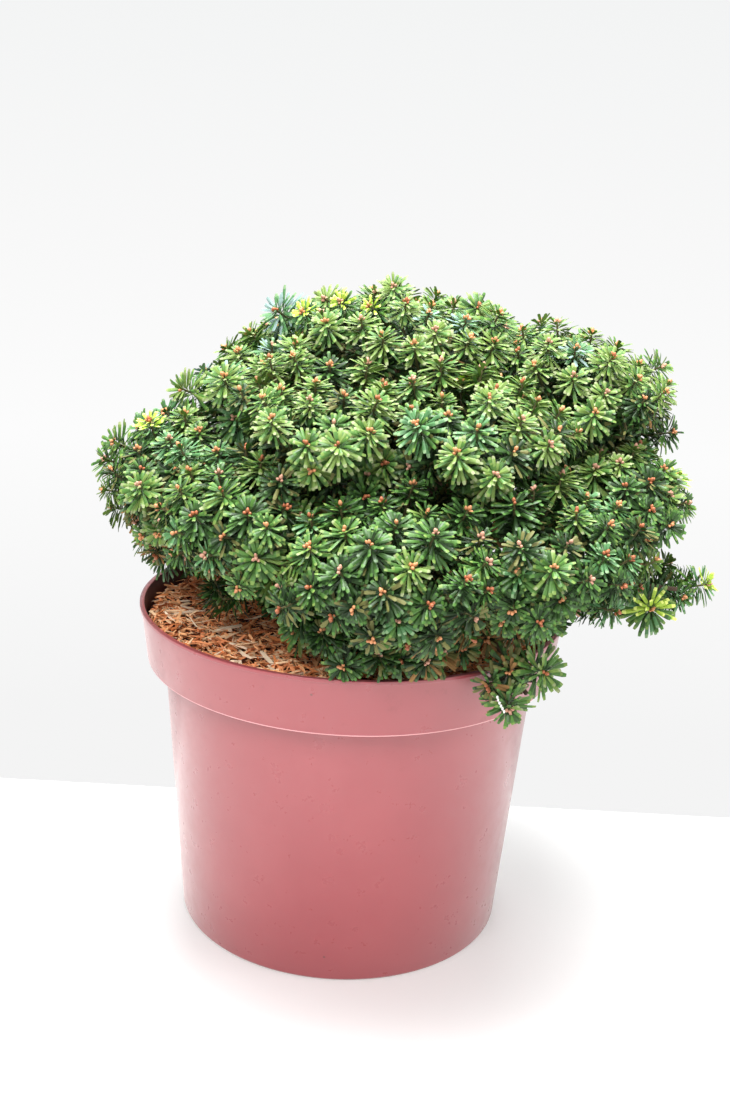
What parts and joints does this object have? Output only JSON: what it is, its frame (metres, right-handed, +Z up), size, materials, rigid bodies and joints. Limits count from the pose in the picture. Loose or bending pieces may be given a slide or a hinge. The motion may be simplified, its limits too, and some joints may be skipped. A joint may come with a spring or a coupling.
{
  "type": "potted dwarf fir shrub",
  "caption": "Cushion-shaped dwarf fir shrub on a short hidden trunk, its foliage in rounded masses over a round tapered nursery pot with bark mulch.",
  "frame": {"origin": "middle of the pot's flat underside, on the surface it stands on", "axes": "+Z up along the pot's axis, -Y towards the viewer of the picture, +X to that viewer's right"},
  "size_m": [0.3683, 0.3478, 0.3863],
  "materials": {
    "red_plastic": "glossy injection-moulded nursery pot, wine red",
    "peat": "matt dark growing mix with roots",
    "bark_chips": "matt shredded bark",
    "bark": "rough grey-brown bark",
    "foliage": "satin dark green needles"
  },
  "bodies": {
    "root": {"pot": "red_plastic", "root_ball": "peat", "bark_mulch": "bark_chips", "trunk": "bark", "bough_shoulder_front_right": "bark", "bough_shoulder_right": "bark", "bough_shoulder_back_right": "bark", "bough_shoulder_back_left": "bark", "bough_shoulder_left": "bark", "bough_shoulder_front_left": "bark", "bough_skirt_front": "bark", "bough_skirt_front_right": "bark", "bough_skirt_right": "bark", "bough_skirt_back_right": "bark", "bough_skirt_back": "bark", "bough_skirt_back_left": "bark", "bough_skirt_far_left": "bark", "bough_skirt_left": "bark", "bough_skirt_front_left": "bark", "bough_low_right": "bark", "bough_low_droop": "bark", "bough_low_front": "bark", "bough_low_front_left": "bark", "bough_low_left": "bark", "crown_top": "foliage", "shoulder_front_right": "foliage", "shoulder_right": "foliage", "shoulder_back_right": "foliage", "shoulder_back_left": "foliage", "shoulder_left": "foliage", "shoulder_front_left": "foliage", "skirt_front": "foliage", "skirt_front_right": "foliage", "skirt_right": "foliage", "skirt_back_right": "foliage", "skirt_back": "foliage", "skirt_back_left": "foliage", "skirt_far_left": "foliage", "skirt_left": "foliage", "skirt_front_left": "foliage", "low_right": "foliage", "low_droop": "foliage", "low_front": "foliage", "low_front_left": "foliage", "low_left": "foliage"}
  },
  "joints": []
}
